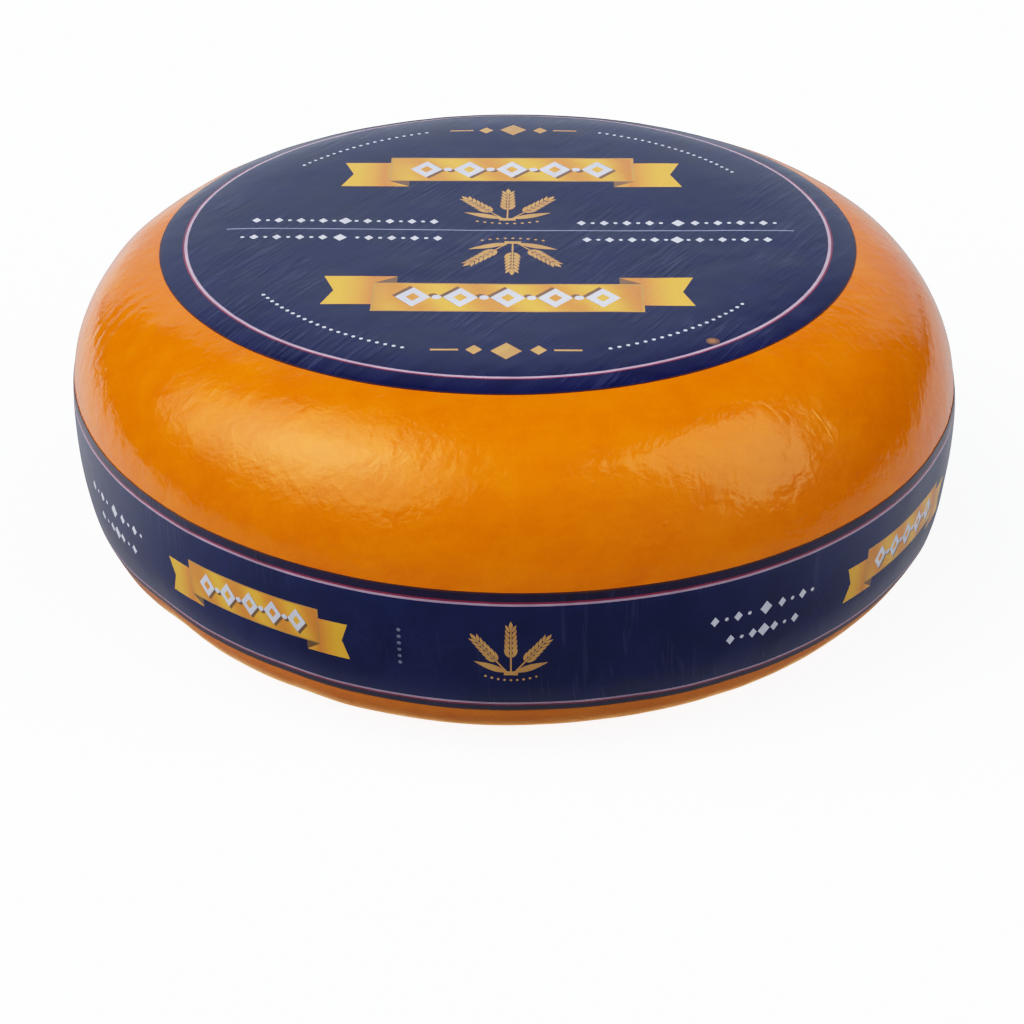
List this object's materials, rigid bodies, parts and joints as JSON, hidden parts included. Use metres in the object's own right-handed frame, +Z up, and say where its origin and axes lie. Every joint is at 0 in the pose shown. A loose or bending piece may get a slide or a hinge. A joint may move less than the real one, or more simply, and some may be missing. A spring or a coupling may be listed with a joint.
{
  "type": "gouda cheese wheel",
  "caption": "Whole orange-coated gouda cheese wheel: a low drum with rounded shoulders, a round navy film label on top and a navy label band around its side.",
  "frame": {"origin": "centre of the flat underside that the wheel rests on", "axes": "+Z up along the wheel's axis; -Y is the side that faces the viewer, and the top label's centre is a few millimetres towards +Y"},
  "size_m": [0.3514, 0.3514, 0.1261],
  "materials": {
    "rind_coating": "glossy orange coating brushed over the rind, finely mottled",
    "label_film": "satin printed film, finely crinkled",
    "band_film": "satin printed film, finely crinkled"
  },
  "bodies": {
    "root": {"wheel": "rind_coating", "top_label": "label_film", "side_band": "band_film"}
  },
  "joints": []
}
